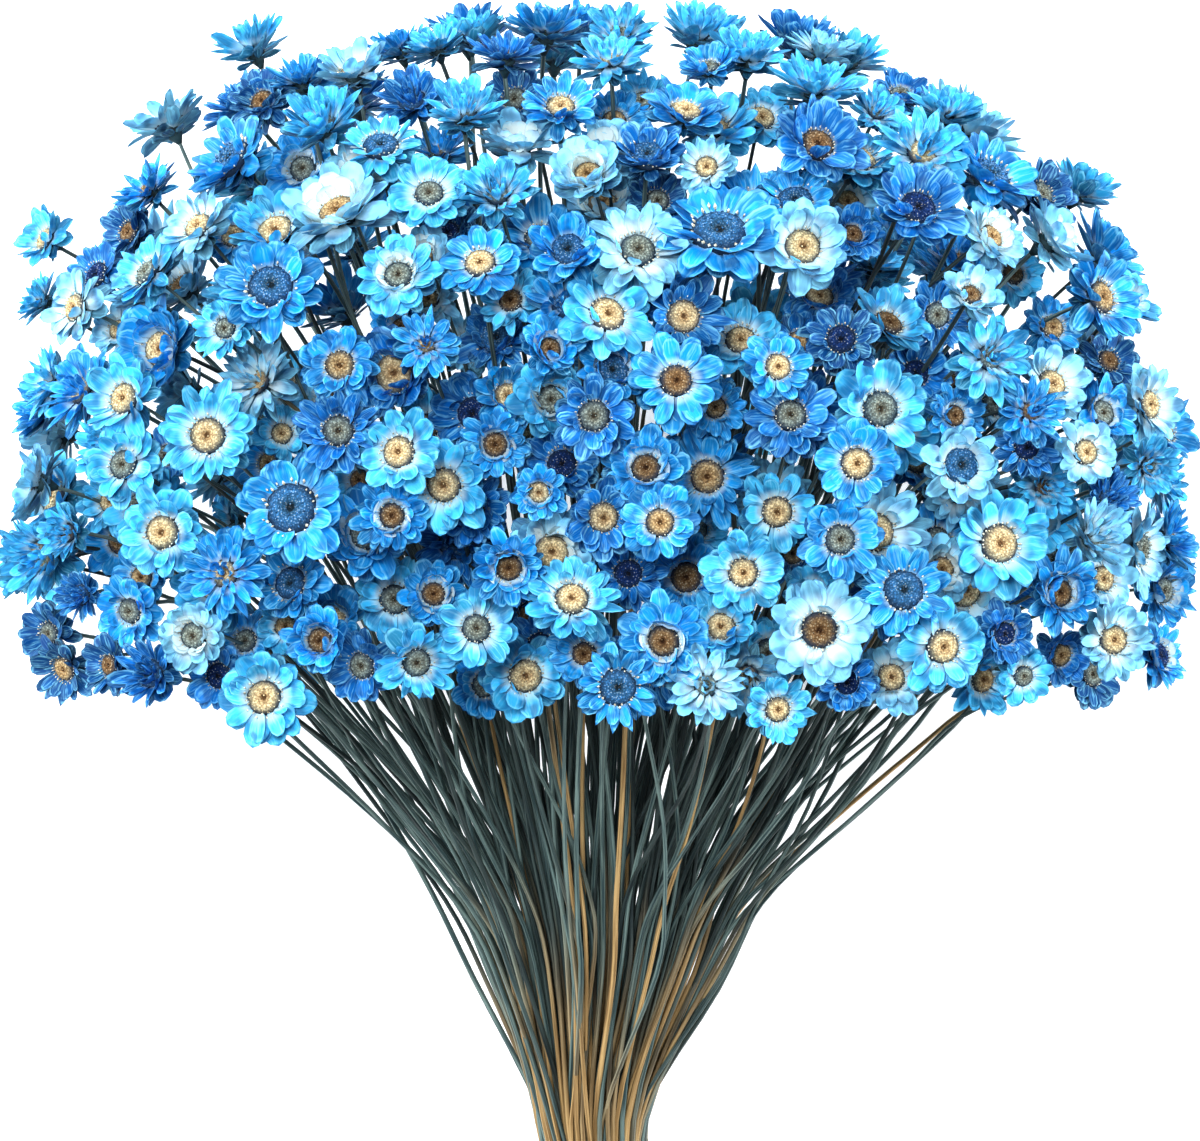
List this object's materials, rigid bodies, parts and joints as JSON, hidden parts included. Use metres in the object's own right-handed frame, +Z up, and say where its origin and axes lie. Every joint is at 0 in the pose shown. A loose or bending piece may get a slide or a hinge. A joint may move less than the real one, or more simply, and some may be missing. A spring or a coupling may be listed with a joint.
{
  "type": "dried flower bunch",
  "caption": "Dried daisy bunch lying down: a domed fan of small papery daisies on wiry leafless stems that gather to a narrow neck with a twine tie and run on to straight cut ends.",
  "frame": {"origin": "on the surface that the bunch lies on, under the middle of its box", "axes": "+Y along the bunch from its cut stem ends to its crown of heads, +X across it, +Z up from the surface that it lies on"},
  "size_m": [0.2173, 0.401, 0.1351],
  "materials": {
    "dyed_flowers": "matte, dyed papery bracts with cream discs on dry grey-green stems",
    "twine": "matte plant-fibre twine"
  },
  "bodies": {
    "root": {"flowers_01": "dyed_flowers", "flowers_02": "dyed_flowers", "flowers_03": "dyed_flowers", "flowers_04": "dyed_flowers", "flowers_05": "dyed_flowers", "flowers_06": "dyed_flowers", "flowers_07": "dyed_flowers", "flowers_08": "dyed_flowers", "flowers_09": "dyed_flowers", "flowers_10": "dyed_flowers", "flowers_11": "dyed_flowers", "flowers_12": "dyed_flowers", "flowers_13": "dyed_flowers", "flowers_14": "dyed_flowers", "flowers_15": "dyed_flowers", "flowers_16": "dyed_flowers", "flowers_17": "dyed_flowers", "flowers_18": "dyed_flowers", "flowers_19": "dyed_flowers", "flowers_20": "dyed_flowers", "flowers_21": "dyed_flowers", "flowers_22": "dyed_flowers", "flowers_23": "dyed_flowers", "flowers_24": "dyed_flowers", "flowers_25": "dyed_flowers", "flowers_26": "dyed_flowers", "flowers_27": "dyed_flowers", "flowers_28": "dyed_flowers", "flowers_29": "dyed_flowers", "flowers_30": "dyed_flowers", "flowers_31": "dyed_flowers", "flowers_32": "dyed_flowers", "flowers_33": "dyed_flowers", "flowers_34": "dyed_flowers", "flowers_35": "dyed_flowers", "flowers_36": "dyed_flowers", "flowers_37": "dyed_flowers", "flowers_38": "dyed_flowers", "flowers_39": "dyed_flowers", "flowers_40": "dyed_flowers", "flowers_41": "dyed_flowers", "flowers_42": "dyed_flowers", "flowers_43": "dyed_flowers", "flowers_44": "dyed_flowers", "flowers_45": "dyed_flowers", "flowers_46": "dyed_flowers", "flowers_47": "dyed_flowers", "flowers_48": "dyed_flowers", "tie": "twine"}
  },
  "joints": []
}
